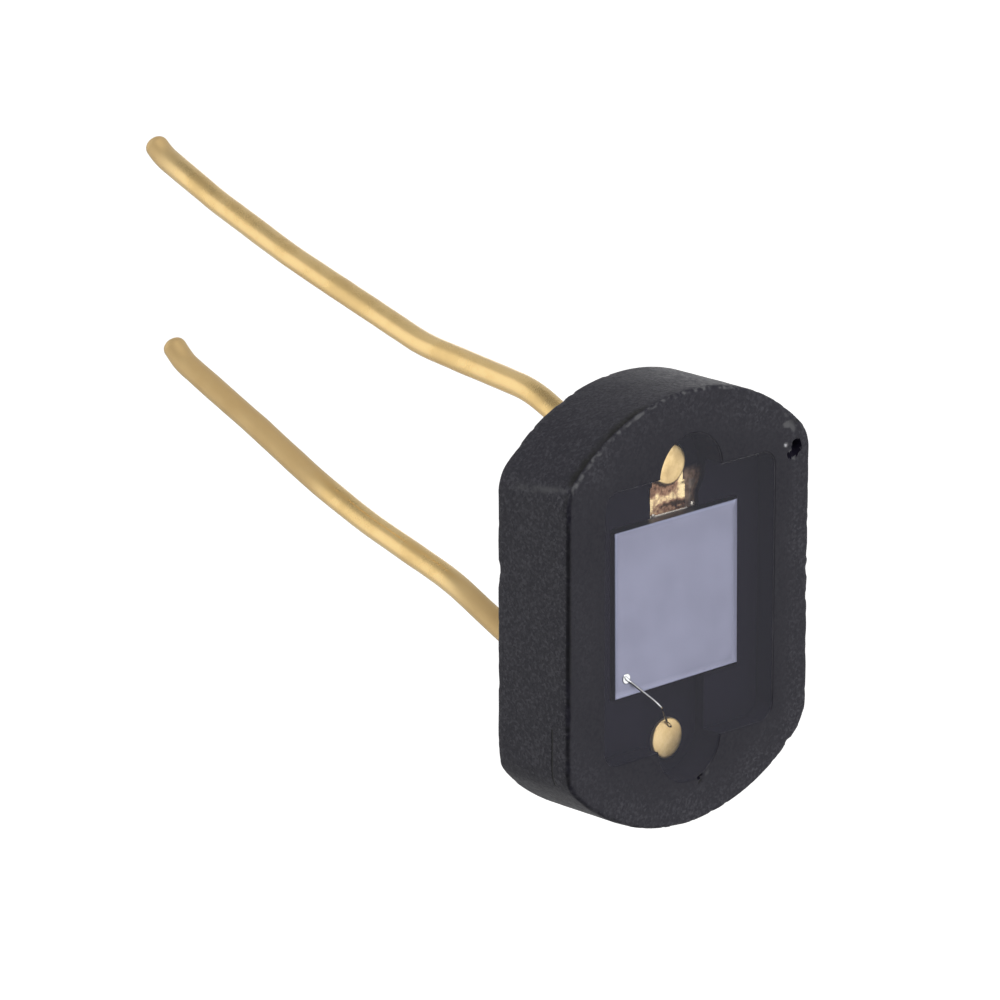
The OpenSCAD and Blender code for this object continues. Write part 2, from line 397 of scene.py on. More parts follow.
def vertex_data(mesh):
    """The points and normals of a mesh as arrays."""
    points = np.empty(len(mesh.vertices) * 3)
    mesh.vertices.foreach_get("co", points)
    normals = np.empty(len(mesh.vertices) * 3)
    mesh.vertex_normals.foreach_get("vector", normals)
    return points.reshape(-1, 3), normals.reshape(-1, 3)


def move_points(mesh, points):
    """Puts new places into a mesh's points."""
    mesh.vertices.foreach_set("co", points.astype(np.float32).ravel())
    mesh.update()


def paint(mesh, name, values):
    """Gives each point of a mesh a number that its material reads."""
    mesh.attributes.new(name, "FLOAT", "POINT").data.foreach_set("value", values.astype(np.float32))


def link(name, data):
    """A new object in the scene."""
    made = bpy.data.objects.new(name, data)
    bpy.context.scene.collection.objects.link(made)
    return made


def make_piece(name, mesh, material, node):
    """A piece of the part: smooth but for its sharp edges, riding on the body in a CAD node's place."""
    piece = link(name, mesh)
    mesh.shade_smooth()
    mesh.set_sharp_from_angle(angle=SHARP_ANGLE)
    mesh.materials.clear()
    mesh.materials.append(material)
    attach(piece, "root")
    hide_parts(node)
    return piece


def drill(mesh, holes, radius, low, high):
    """A copy of a mesh with upright round holes through it, each given by its place on the Y axis."""
    blank = link("drill_blank", mesh)
    heights = np.array([low, low, high, high])
    radii = np.array([0, radius, radius, 0])
    cutters = []
    for y in holes:
        tool = link("drill_tool", make_mesh("drill_tool", lathe(radii, heights, WIRE_SIDES) + (0, y, 0)))
        cut = blank.modifiers.new("hole", "BOOLEAN")
        cut.operation = "DIFFERENCE"
        cut.solver = "MANIFOLD"
        cut.object = tool
        cutters.append(tool)
    bpy.context.view_layer.update()
    result = blank.evaluated_get(bpy.context.evaluated_depsgraph_get())
    drilled = bpy.data.meshes.new_from_object(result)
    drilled.name = mesh.name
    require(len(drilled.polygons) not in (0, len(mesh.polygons)), f"{mesh.name} wasn't drilled")
    for used in cutters + [blank]:
        bpy.data.objects.remove(used)
    return drilled


# Outlines of the body


def body_radius(angle, inset, body):
    """Distance from the middle to the body's outline, moved inwards by inset, in the direction of each angle.

    The outline is a flat until its corner round starts, then the corner round, then the round end."""
    end = (BODY_HIGH.y - BODY_LOW.y) / 2
    flat = body.width / 2
    x, y = np.abs(np.cos(angle)), np.abs(np.sin(angle))
    corner_x = flat - body.corner
    corner_y = np.sqrt((end - body.corner) ** 2 - corner_x**2)
    along = x * corner_x + y * corner_y
    inner = corner_x**2 + corner_y**2 - (body.corner - inset) ** 2
    corner = along + np.sqrt(np.maximum(along**2 - inner, 0))
    on_flat = y * (flat - inset) < x * corner_y
    on_end = x * corner_y < y * corner_x
    curved = np.where(on_end, end - inset, corner)
    return np.where(on_flat, (flat - inset) / np.maximum(x, TINY), curved)


def recess_outline(body):
    """The recess at the rim: a rectangle with round corners and a round well at each end."""
    side, end, corner = body.recess_width / 2, body.recess_length / 2, body.recess_corner
    crossing = np.degrees(np.arcsin((end - body.well_place) / body.well))
    well_x = body.well * np.cos(np.radians(crossing))
    corner_x, corner_y = side - corner, end - corner
    return mirrored(
        np.concatenate(
            [
                arc((0, -body.well_place), body.well, -90, -crossing, WELL_STEPS),
                line((well_x, -end), (corner_x, -end), END_STEPS),
                arc((corner_x, -corner_y), corner, -90, 0, CORNER_STEPS),
                line((side, -corner_y), (side, corner_y), SIDE_STEPS),
                arc((corner_x, corner_y), corner, 0, 90, CORNER_STEPS),
                line((corner_x, end), (well_x, end), END_STEPS),
                arc((0, body.well_place), body.well, crossing, 90, WELL_STEPS),
                [(0, body.well_place + body.well)],
            ]
        )
    )


def deep_outline(body):
    """The deep level: the wells, the lower slot, the die's square pocket and the strap's slot.

    It has a point for each point of the recess's outline, and shares the ends of the wells with it."""
    end = body.recess_length / 2
    crossing = np.degrees(np.arcsin((end - body.well_place) / body.well))
    pocket_x = DIE_HIGH.x + body.pocket_gap
    low, high = DIE_LOW.y - body.pocket_gap, DIE_HIGH.y + body.pocket_gap
    slot_x = body.slot / 2
    slot_turn = -np.degrees(np.arccos(slot_x / body.well))
    slot_y = body.well_place + body.well * np.sin(np.radians(slot_turn))
    bevel = POCKET_CORNER
    half_corner = CORNER_STEPS // 2
    well_part, slot_part = 2, 26
    edge_part = END_STEPS - well_part - slot_part
    return mirrored(
        np.concatenate(
            [
                arc((0, -body.well_place), body.well, -90, -crossing, WELL_STEPS),
                arc((0, -body.well_place), body.well, -crossing, 0, well_part),
                line((body.well, -body.well_place), (body.well, low), slot_part),
                line((body.well, low), (pocket_x - bevel, low), edge_part),
                line((pocket_x - bevel, low), (pocket_x, low), half_corner),
                line((pocket_x, low), (pocket_x, low + bevel), half_corner),
                line((pocket_x, low + bevel), (pocket_x, high - bevel), SIDE_STEPS),
                line((pocket_x, high - bevel), (pocket_x, high), half_corner),
                line((pocket_x, high), (pocket_x - bevel, high), half_corner),
                line((pocket_x - bevel, high), (slot_x, high), edge_part),
                line((slot_x, high), (slot_x, slot_y), well_part * 4),
                arc((0, body.well_place), body.well, slot_turn, crossing, slot_part - well_part * 3),
                arc((0, body.well_place), body.well, crossing, 90, WELL_STEPS),
                [(0, body.well_place + body.well)],
            ]
        )
    )


# Materials


def shade(colour, factor):
    """A colour made darker or lighter."""
    return tuple(factor * part for part in colour)


class Shading:
    """The nodes of a new material or world.

    A number or colour given to a method can be another node's output."""

    def __init__(self, owner):
        owner.use_nodes = True
        self.owner = owner
        self.tree = owner.node_tree

    def put(self, socket, value):
        """Sets an input to a value, or links an output to it."""
        if isinstance(value, bpy.types.NodeSocket):
            self.tree.links.new(value, socket)
        elif socket.type == "RGBA":
            socket.default_value = (*value, 1.0)
        else:
            socket.default_value = value

    def add(self, kind, inputs=None, **settings):
        """A new node with its settings and inputs."""
        node = self.tree.nodes.new("ShaderNode" + kind)
        for key, value in settings.items():
            setattr(node, key, value)
        for key, value in (inputs or {}).items():
            self.put(node.inputs[key], value)
        return node

    def surface(self, inputs):
        """Sets inputs of the material's Principled shader, and gives the material."""
        for key, value in inputs.items():
            self.put(self.tree.nodes["Principled BSDF"].inputs[key], value)
        return self.owner

    def for_camera(self, others, camera, output):
        """One shader for what the camera sees and one for all other rays, joined to an output node."""
        ray = self.add("LightPath").outputs["Is Camera Ray"]
        mix = self.add("MixShader", {0: ray, 1: others.outputs[0], 2: camera.outputs[0]})
        self.put(output.inputs["Surface"], mix.outputs["Shader"])

    def millimetres(self):
        """Object coordinates in mm."""
        place = self.add("TexCoord").outputs["Object"]
        return self.add("Mapping", {"Vector": place, "Scale": (1 / MM, 1 / MM, 1 / MM)}).outputs["Vector"]

    def painted(self, name):
        """A number that the points of the mesh carry."""
        return self.add("Attribute", attribute_name=name).outputs["Fac"]

    def noise(self, place, per_mm, detail=3.0):
        """Noise with so many cells to a mm."""
        inputs = {"Vector": place, "Scale": per_mm, "Detail": detail, "Roughness": 0.6}
        return self.add("TexNoise", inputs).outputs["Fac"]

    def cells(self, place, per_mm):
        """A random number for each of the cells that fill space, so many to a mm."""
        return self.axes(self.add("TexVoronoi", {"Vector": place, "Scale": per_mm}).outputs["Color"])[0]

    def axes(self, vector):
        """The three parts of a vector."""
        return self.add("SeparateXYZ", {"Vector": vector}).outputs

    def vector(self, operation, *values, output="Vector"):
        """A vector worked out from others."""
        return self.add("VectorMath", dict(enumerate(values)), operation=operation).outputs[output]

    def measure(self, operation, *values):
        """A number worked out from vectors."""
        return self.vector(operation, *values, output="Value")

    def combine(self, operation, first, *others):
        """Values put together one after another."""
        for other in others:
            first = self.add("Math", {0: first, 1: other}, operation=operation).outputs["Value"]
        return first

    def plus(self, *values):
        """The sum of values."""
        return self.combine("ADD", *values)

    def times(self, *values):
        """The product of values."""
        return self.combine("MULTIPLY", *values)

    def largest(self, *values):
        """The largest of values."""
        return self.combine("MAXIMUM", *values)

    def ramp(self, value, low, high, to_low=0.0, to_high=1.0):
        """A value mapped smoothly from one range to another, and held at its ends."""
        inputs = {"Value": value, "From Min": low, "From Max": high, "To Min": to_low, "To Max": to_high}
        return self.add("MapRange", inputs, interpolation_type="SMOOTHSTEP").outputs["Result"]

    def span(self, value, low, high, soft):
        """1 between two values, falling to 0 over a soft border at either end."""
        rise = self.ramp(value, low - soft, low + soft)
        return self.times(rise, self.ramp(value, high - soft, high + soft, 1.0, 0.0))

    def box_mask(self, place, low, high, soft):
        """1 inside a box given in mm, falling to 0 over a soft border."""
        return self.times(*(self.span(*axis, soft) for axis in zip(self.axes(place), low, high)))

    def blended(self, share, first, second):
        """A colour between two colours."""
        return self.add("Mix", {0: share, 6: first, 7: second}, data_type="RGBA").outputs[2]

    def bump(self, height, depth, strength):
        """A normal from a height field whose full height is depth, in mm."""
        inputs = {"Height": height, "Distance": depth * MM, "Strength": strength}
        return self.add("Bump", inputs).outputs["Normal"]


def ceramic_material(finishes):
    """Black ceramic: light grains in a dark ground and a fine uneven surface, smoother on the lapped front.

    Points whose wear is above 0 are as light as a fresh break, with some painted light, and below 0 as dark
    as a hole, which is painted shade. A thin scratch runs down the left flat."""
    shading = Shading(bpy.data.materials.new("black_ceramic"))
    place = shading.millimetres()
    grain = shading.noise(place, 14.0, 1.2)
    patch = shading.noise(place, 2.4)
    fine = shading.noise(place, 45.0, 2.0)
    rough = shading.painted("rough")
    # The painted wear also carries painted light and painted shade of the body
    wear = shading.painted("wear")
    uneven = shading.plus(grain, shading.times(patch, 0.12), shading.times(shading.cells(place, 22.0), 0.32))
    grains = shading.times(shading.ramp(uneven, 0.56, 1.12), rough)
    ground = shading.blended(grains, finishes.ceramic, finishes.grain)
    ground = shading.blended(shading.ramp(wear, 0.0, 1.0), ground, finishes.broken)
    ground = shading.blended(shading.ramp(wear, 1.0, 2.0), ground, shade(finishes.broken, 5))
    scratch = shading.box_mask(place, SCRATCH_LOW, SCRATCH_HIGH, 0.012)
    # Dark holes, the painted shade of the body, and the scratch
    hollow_and_shade = shading.largest(shading.ramp(wear, 0.0, -1.0), scratch)
    height = shading.plus(grain, shading.times(fine, 0.5))
    height = shading.times(height, shading.ramp(rough, 0.0, 1.0, 0.3, 1.0))
    height = shading.plus(height, shading.times(scratch, -1.5))
    return shading.surface(
        {
            "Base Color": shading.blended(hollow_and_shade, ground, HOLLOW_AND_SHADE),
            "Roughness": shading.ramp(grain, 0.3, 0.7, 0.45, 0.62),
            "Specular IOR Level": 0.35,
            "Normal": shading.bump(height, 0.02, 0.45),
        }
    )


def wetted_material(finishes, body):
    """Black ceramic that the resin wets: darker and with less gloss, with brown residue beside the strap."""
    shading = Shading(bpy.data.materials.new("wetted_ceramic"))
    place = shading.millimetres()
    grain = shading.noise(place, 20.0, 2.0)
    ground = shading.blended(shading.ramp(grain, 0.4, 0.75), finishes.wetted, shade(finishes.wetted, 1.5))
    slot_x, slot_y = body.slot / 2 / MM, DIE_HIGH.y / MM
    smear = shading.box_mask(place, (slot_x - 0.2, slot_y, 0.5), (slot_x + 0.2, slot_y + 0.68, 0.78), 0.1)
    streaks = shading.ramp(shading.noise(place, 9.0), 0.35, 0.65, 0.5, 1.0)
    pale = shading.box_mask(place, (slot_x - 0.03, slot_y, 0.58), (slot_x + 0.1, slot_y + 0.5, 0.68), 0.04)
    residue = shading.blended(shading.times(pale, 0.5), finishes.smear, finishes.cement)
    return shading.surface(
        {
            "Base Color": shading.blended(shading.times(smear, streaks), ground, residue),
            "Roughness": shading.ramp(grain, 0.3, 0.7, 0.6, 0.75),
            "Specular IOR Level": 0.05,
        }
    )


def gold_material(name, finishes, dull_spans):
    """Satin gold plating: dull spans along the wire, warm patches, fine drawing marks and matte heads.

    A dull span is a low and a high place along Z in mm."""
    shading = Shading(bpy.data.materials.new(name))
    place = shading.millimetres()
    patch = shading.noise(place, 1.6)
    height = shading.axes(place)[2]
    spans = [shading.span(height, low, high, 0.6) for low, high in dull_spans]
    dull = shading.largest(shading.ramp(patch, 0.4, 0.75, 0.0, 0.35), *spans)
    plating = shading.blended(shading.ramp(patch, 0.4, 0.65), finishes.gold, finishes.warm_gold)
    plating = shading.blended(dull, plating, finishes.worn_gold)
    matte = shading.ramp(height, 0.3, 0.5)
    plating = shading.blended(shading.times(matte, 0.2), plating, finishes.pale_gold)
    rubbed = shading.times(matte, shading.ramp(shading.noise(place, 9.0), 0.4, 0.62, 0.0, 0.35))
    satin = shading.ramp(patch, 0.3, 0.75, 0.16, 0.24)
    return shading.surface(
        {
            "Base Color": shading.blended(rubbed, plating, shade(finishes.warm_gold, 0.8)),
            "Metallic": 1.0,
            "Roughness": shading.plus(satin, shading.times(dull, 0.48), shading.times(matte, 0.1)),
            "Sheen Weight": 0.5,
            "Sheen Roughness": 0.4,
            "Normal": shading.bump(shading.noise(place, 30.0, 2.0), 0.004, 0.5),
        }
    )


def strap_material(finishes):
    """Gold of the strap: bright where it is bare, with brown stains and painted shade where its points are
    painted so.
    """
    shading = Shading(bpy.data.materials.new("strap_gold"))
    place = shading.millimetres()
    mottle = shading.ramp(shading.noise(place, 16.0), 0.3, 0.7, -0.3, 0.4)
    # The painted stain carries painted shade round the head and a painted shadow in front of the cement
    share = shading.plus(shading.painted("stain_and_shade"), mottle)
    plating = shading.blended(shading.ramp(share, -0.3, 1.2), finishes.strap_gold, finishes.strap_brown)
    return shading.surface(
        {
            "Base Color": shading.blended(shading.ramp(share, 0.8, 2.0), plating, finishes.strap_dark_and_shade),
            "Metallic": 1.0,
            "Roughness": shading.ramp(share, 0.0, 1.0, 0.24, 0.42),
            "Normal": shading.bump(shading.noise(place, 24.0), 0.008, 0.7),
        }
    )


def cement_material(finishes):
    """Silver-filled cement: fine bright flakes in a dull ground."""
    shading = Shading(bpy.data.materials.new("silver_cement"))
    flakes = shading.ramp(shading.noise(shading.millimetres(), 40.0, 2.0), 0.4, 0.65)
    return shading.surface(
        {
            "Base Color": shading.blended(flakes, shade(finishes.cement, 0.8), finishes.cement),
            "Metallic": 0.9,
            "Roughness": shading.ramp(flakes, 0.0, 1.0, 0.35, 0.18),
            "Normal": shading.bump(flakes, 0.002, 0.6),
        }
    )


def silicon_material(finishes):
    """Coated silicon: an even lavender-grey face with faint clouds, and dark sawn sides.

    The face has a lighter border, which is widest at the right and below. There it is painted light that
    offsets the shade and dark reflection of the pocket's walls."""
    shading = Shading(bpy.data.materials.new("silicon"))
    place = shading.millimetres()
    x, y, z = shading.axes(place)
    low, high = DIE_LOW / MM, DIE_HIGH / MM
    active_low = (low.x + DIE_BORDER, low.y + DIE_BORDER, 0.0)
    active_high = (high.x - DIE_BORDER, high.y - DIE_BORDER, high.z + 1.0)
    active = shading.box_mask(place, active_low, active_high, 0.006)
    clouds = shading.ramp(shading.noise(place, 0.9), 0.3, 0.7)
    coat = shading.blended(clouds, finishes.silicon, shade(finishes.silicon, 0.94))
    face = shading.blended(active, finishes.street, coat)
    # Painted light along the right and lower borders, against the shade of the pocket's walls
    right = shading.ramp(x, high.x - 0.15, high.x)
    lower = shading.ramp(y, low.y + 0.15, low.y, 0.0, 0.6)
    face = shading.blended(shading.largest(right, lower), face, shade(finishes.silicon, 2))
    on_top = shading.ramp(z, high.z - 0.02, high.z - 0.01)
    return shading.surface(
        {
            "Base Color": shading.blended(on_top, shade(finishes.silicon, 0.06), face),
            "Metallic": 0.55,
            "Roughness": shading.ramp(clouds, 0.0, 1.0, 0.3, 0.36),
        }
    )


def bright_material(name, finishes):
    """Bright aluminium with a faint drawn grain.

    Where its points are tarnished it is brown at a half and black at 1; the black is painted shade, the dark
    that the bond wire's far leg reflects."""
    shading = Shading(bpy.data.materials.new(name))
    grain = shading.noise(shading.millimetres(), 45.0, 2.0)
    tarnish_and_shade = shading.painted("tarnish_and_shade")
    # Black at 1: painted shade that stands for a dark reflection
    dark = shading.ramp(tarnish_and_shade, 0.5, 1.0)
    metal = shading.blended(shading.ramp(grain, 0.35, 0.7), shade(finishes.bright, 0.8), finishes.bright)
    metal = shading.blended(shading.ramp(tarnish_and_shade, 0.0, 0.5), metal, shade(finishes.worn_gold, 0.5))
    return shading.surface(
        {
            "Base Color": shading.blended(dark, metal, finishes.wetted),
            "Metallic": shading.combine("SUBTRACT", 1.0, dark),
            "Specular IOR Level": 0.1,
            "Roughness": shading.ramp(grain, 0.3, 0.7, 0.1, 0.2),
        }
    )


def resin_material():
    """Clear resin with a faintly uneven face.

    A soft coat and a trace of blue sheen veil what it covers. Rays that don't come from the camera go
    straight through."""
    shading = Shading(bpy.data.materials.new("clear_resin"))
    swell = shading.noise(shading.millimetres(), 0.7, 2.0)
    shading.surface(
        {
            "Base Color": (0.97, 0.98, 1.0),
            "Transmission Weight": 1.0,
            "Roughness": 0.02,
            "IOR": 1.5,
            "Specular Tint": (0.0, 0.0, 0.0),
            "Coat Weight": 0.88,
            "Coat Roughness": 0.6,
            "Sheen Weight": 0.03,
            "Sheen Roughness": 0.8,
            "Sheen Tint": (0.1, 0.1, 1.0),
            "Normal": shading.bump(swell, 0.004, 0.5),
        }
    )
    nodes = shading.tree.nodes
    shading.for_camera(shading.add("BsdfTransparent"), nodes["Principled BSDF"], nodes["Material Output"])
    return shading.owner


# Pieces

# Blemishes of the body: place in mm, half lengths in mm along and across, turn about Z in degrees, depth in
# mm, and tone: above 0 as light as a fresh break, below 0 as dark as a hole, which is painted shade
BLEMISHES = (
    ((2.645, 2.44, 1.8), (0.14, 0.11), 95.0, 0.16, -1.0),
    ((2.545, 2.31, 1.8), (0.13, 0.05), -53.0, 0.03, 1.0),
    ((2.46, 2.3, 1.8), (0.08, 0.04), -60.0, 0.05, -1.0),
    ((2.366, 2.524, 1.8), (0.055, 0.045), 0.0, 0.0, 2.0),
    ((2.45, 2.9, 1.8), (0.16, 0.08), 0.0, 0.02, 0.8),
    ((2.54, 2.84, 1.8), (0.14, 0.07), -55.0, 0.02, 0.7),
    ((2.374, 3.079, 1.8), (0.09, 0.04), -40.0, 0.01, 0.5),
    ((2.66, 2.93, 1.8), (0.07, 0.05), -40.0, 0.02, -0.7),
    ((0.27, -3.185, 1.8), (0.09, 0.04), 33.0, 0.04, -1.0),
    ((0.28, -3.28, 1.8), (0.09, 0.035), 33.0, 0.02, -0.7),
    ((0.46, -3.16, 1.8), (0.07, 0.05), 33.0, 0.01, 0.4),
    ((2.55, -3.08, 1.75), (0.1, 0.1), 0.0, 0.03, 0.3),
    ((-3.0, 0.96, 0.05), (0.16, 0.16), 0.0, 0.018, 0.2),
    ((3.0, 0.1, 1.75), (0.14, 0.14), 0.0, 0.02, 0.2),
    ((3.0, -0.4, 1.75), (0.12, 0.12), 0.0, 0.02, 0.2),
)


def depth_inside(points, body):
    """How far each point lies inside the body's outline, measured towards the middle."""
    x, y = points[:, 0], points[:, 1]
    return body_radius(np.arctan2(y, x), 0, body) - np.hypot(x, y)


def edge_breaks(points, body):
    """How much each point lies in a small break along the outer edges, from 0 to 1."""
    near_face = np.minimum(points[:, 2], BODY_HIGH.z - points[:, 2])
    off_edge = np.abs(depth_inside(points, body)) + np.abs(near_face)
    edge = np.exp(-((off_edge / (0.9 * body.edge)) ** 2))
    spots = 0.7 * noise(points, 0.12 * MM, 3) + 0.6 * noise(points, 0.4 * MM, 4)
    return edge * smooth_step(0.0, 0.55, spots)


def blemish_share(points, place, halves, slant):
    """How much each point lies in a blemish: an ellipsoid with a soft border."""
    away = (points - np.multiply(place, MM)) / MM
    cosine, sine = np.cos(np.radians(slant)), np.sin(np.radians(slant))
    along = (away[:, 0] * cosine + away[:, 1] * sine) / halves[0]
    across = (away[:, 1] * cosine - away[:, 0] * sine) / halves[1]
    return smooth_step(1.15, 0.55, np.sqrt(along**2 + across**2 + (away[:, 2] / max(halves)) ** 2))


def worn(mesh, body):
    """Wear of the fired body: a fine unevenness, small breaks along the outer edges, and the blemishes.

    Each point moves along its normal, and the recess keeps its walls."""
    points, normals = vertex_data(mesh)
    outside = (points[:, 2] > BODY_HIGH.z - TINY) | (depth_inside(points, body) < 1.2 * body.edge)
    uneven = noise(points, 0.16 * MM, 1) * 0.6 + noise(points, 0.5 * MM, 2)
    inward = body.wear * edge_breaks(points, body)
    for place, halves, slant, depth, _ in BLEMISHES:
        inward += depth * MM * blemish_share(points, place, halves, slant)
    move_points(mesh, points + normals * ((body.roughness * uneven - inward) * outside)[:, None])


def wear_and_shade_tone(mesh, body):
    """Tone of each point of the body, from -1 as dark as a hole to 2 for a bright chip; below 0 it paints
    shade.

    Breaks along the edges are light, and so are a seam across the upper end of the left flat, a ragged crest
    along the upper left of the front edge, which has chips and a painted highlight, and the right half of the
    recess's lip, which is painted light against its shade. The front edge of the left flat is painted shade,
    and so are patches under the crest. The blemishes go over all of it with their own tones."""
    points, _ = vertex_data(mesh)
    x, y, z = points.T
    angle = np.degrees(np.arctan2(y, x))
    depth_in = depth_inside(points, body)
    below = BODY_HIGH.z - z
    off_edge = (np.abs(depth_in) + np.abs(below)) / body.edge
    left_end = smooth_step(146, 138, angle)
    ragged = 0.6 * noise(points, 0.1 * MM, 5) + 0.5 * noise(points, 0.05 * MM, 6)
    # Light crest along the upper left of the front edge: chips with a painted highlight
    crest_and_highlight = smooth_step(0.95, 0.6, off_edge) * smooth_step(62, 75, angle) * left_end
    tone = 0.55 * edge_breaks(points, body) + crest_and_highlight * smooth_step(-0.4, 0.5, ragged)
    # Painted shade along the front edge of the left flat
    on_left = smooth_step(0.05 * MM, 0, np.abs(x + body.width / 2) - body.edge)
    tone -= 0.6 * smooth_step(1.3, 0.5, off_edge) * on_left
    # Painted shadow in patches under the crest
    painted_undercut_shade = smooth_step(0.32 * MM, 0.1 * MM, below + 0.1 * MM * ragged)
    painted_undercut_shade *= smooth_step(0.9, 1.0, below / body.edge) * (depth_in < body.edge)
    painted_undercut_shade *= smooth_step(-0.7, 0.3, noise(points, 0.6 * MM, 9))
    tone -= painted_undercut_shade * smooth_step(100, 110, angle) * left_end
    off_seam = y - SEAM_PLACE - SEAM_SLOPE * z + 0.03 * MM * ragged
    seam = np.exp(-((off_seam / SEAM_WIDTH) ** 2)) * (x < -2.7 * MM) * (below > body.edge)
    tone += 0.6 * seam * smooth_step(-0.8, 0.1, ragged) * smooth_step(0, 0.8 * MM, z)
    # Painted light on the right half of the recess's lip, against the shade on the lip
    drop = BODY_HIGH.z - RESIN_HIGH.z
    lip = smooth_step(0.2, 0.4, below / drop) * (below < 1.5 * drop) * (depth_in > 3 * body.edge)
    painted_lip_light = 0.15 + 0.35 * smooth_step(-2.4 * MM, -1.8 * MM, y)
    tone += painted_lip_light * lip * smooth_step(0, 0.3 * MM, x)
    for place, halves, slant, _, own_tone in BLEMISHES:
        share = blemish_share(points, place, halves, slant)
        tone = tone * (1 - share) + own_tone * share
    return tone


def rough_share(mesh, body):
    """How rough each point of the body is: 1 on the flats, less on the ends, and little on the lapped front.

    The front's outer border is rougher in patches, and most at its ends and on its right."""
    points, _ = vertex_data(mesh)
    x, y, z = points.T
    on_rim = smooth_step(BODY_HIGH.z - body.edge, BODY_HIGH.z - 0.3 * body.edge, z)
    patches = 0.2 + 0.25 * noise(points, 0.8 * MM, 11)
    patches += 0.25 * smooth_step(1.5 * MM, 3.2 * MM, np.abs(y))
    patches += 0.3 * smooth_step(2.2 * MM, 2.6 * MM, x) + 0.2 * smooth_step(-2.8 * MM, -3.5 * MM, y)
    lapped = on_rim * (1 - patches * smooth_step(1.2 * MM, 0.2 * MM, depth_inside(points, body)))
    on_end = smooth_step(2.5 * MM, 2.9 * MM, np.abs(y)) * (1 - on_rim)
    return (1 - lapped) * (1 - 0.45 * on_end)


def inside_recess(mesh, body):
    """Whether each face lies in the recess: above the deep floor, below the rim and away from the outside."""
    centres = np.empty(len(mesh.polygons) * 3)
    mesh.polygons.foreach_get("center", centres)
    centres = centres.reshape(-1, 3)
    above = centres[:, 2] > RESIN_LOW.z - body.edge
    return above & (centres[:, 2] < RESIN_HIGH.z) & (depth_inside(centres, body) > 3 * body.edge)


class PHOTODIODE_OT_ceramic_body(bpy.types.Operator):
    """Black ceramic body: one surface from the back, over the sides and the rim, down to the deep floor."""

    bl_idname = "photodiode.ceramic_body"
    bl_label = "Ceramic body"

    def execute(self, context):
        body = context.scene.photodiode_body
        leads = context.scene.photodiode_leads
        require(body.recess_width < body.width, "the recess is wider than the body")
        recess, deep = recess_outline(body), deep_outline(body)
        lip = grown(recess, BODY_HIGH.z - RESIN_HIGH.z)
        angle = np.arctan2(recess[:, 1], recess[:, 0])
        direction = np.stack([np.cos(angle), np.sin(angle)], axis=1)
        top, floor, bottom = BODY_HIGH.z, body.recess_floor, RESIN_LOW.z

        def outline(inset):
            return direction * body_radius(angle, inset, body)[:, None]

        face = outline(body.edge)
        turn = np.linspace(0, np.pi / 2, EDGE_RINGS)
        inset = body.edge * (1 - np.sin(turn))
        lift = body.edge * (1 - np.cos(turn))
        back_edge = [ring(outline(i), z) for i, z in zip(inset, lift)]
        flank = [ring(outline(0), z) for z in np.linspace(body.edge, top - body.edge, FLANK_RINGS)[1:-1]]
        front_edge = [ring(outline(i), top - z) for i, z in zip(inset[::-1], lift[::-1])]
        grid = np.concatenate(
            [
                between(ring(0 * face, 0), ring(face, 0), BACK_RINGS),
                back_edge,
                flank,
                front_edge,
                between(ring(face, top), ring(lip, top), RIM_RINGS)[1:],
                between(ring(lip, top), ring(recess, RESIN_HIGH.z), 2),
                between(ring(recess, RESIN_HIGH.z), ring(recess, floor), WALL_RINGS),
                between(ring(recess, floor), ring(deep, floor), FLOOR_RINGS),
                between(ring(deep, floor), ring(deep, bottom), WALL_RINGS),
                between(ring(deep, bottom), ring(spine(deep, body.well_place), bottom), FLOOR_RINGS),
                [ring(spine(deep, body.well_place), bottom)],
            ]
        )
        mesh = make_mesh("ceramic_body_skin", grid)
        worn(mesh, body)
        holes = (-leads.pitch / 2, leads.pitch / 2)
        mesh = drill(mesh, holes, body.hole / 2, -body.edge, bottom + body.edge)
        finishes = context.scene.photodiode_finishes
        make_piece("ceramic_body_skin", mesh, ceramic_material(finishes), "ceramic_body")
        mesh.materials.append(wetted_material(finishes, body))
        mesh.polygons.foreach_set("material_index", inside_recess(mesh, body).astype(np.int32))
        # Wear of the body, with its painted light and painted shade
        paint(mesh, "wear", wear_and_shade_tone(mesh, body))
        paint(mesh, "rough", rough_share(mesh, body))
        mesh.update()
        return {"FINISHED"}


def bent_path(y, bends, length):
    """Points on the centre line of a lead behind the body: straight runs and arcs in the YZ plane."""
    points = [np.array([[0.0, y, 0.0]])]
    heading = 0.0
    used = 0.0
    for run, turn, radius in bends + [(None, 0.0, 0.0)]:
        count = TIP_RINGS if run is None else max(int(run * MM / WIRE_STEP), 2)
        run = length - used if run is None else run * MM
        start = points[-1][-1]
        along = np.array([0, np.sin(heading), -np.cos(heading)])
        straight = np.linspace(0, run, count)[1:, None]
        points.append(start + straight * along)
        bend = np.radians(turn)
        side = np.sign(bend) * radius * MM
        angle = heading + np.linspace(0, bend, max(int(abs(side * bend) / WIRE_STEP), 2))[1:]
        if turn:
            start = points[-1][-1]
            across = np.cos(heading) - np.cos(angle)
            down = np.sin(angle) - np.sin(heading)
            points.append(start + side * np.stack([0 * across, across, -down], axis=1))
        heading += bend
        used += run + abs(side * bend)
    return np.concatenate(points)


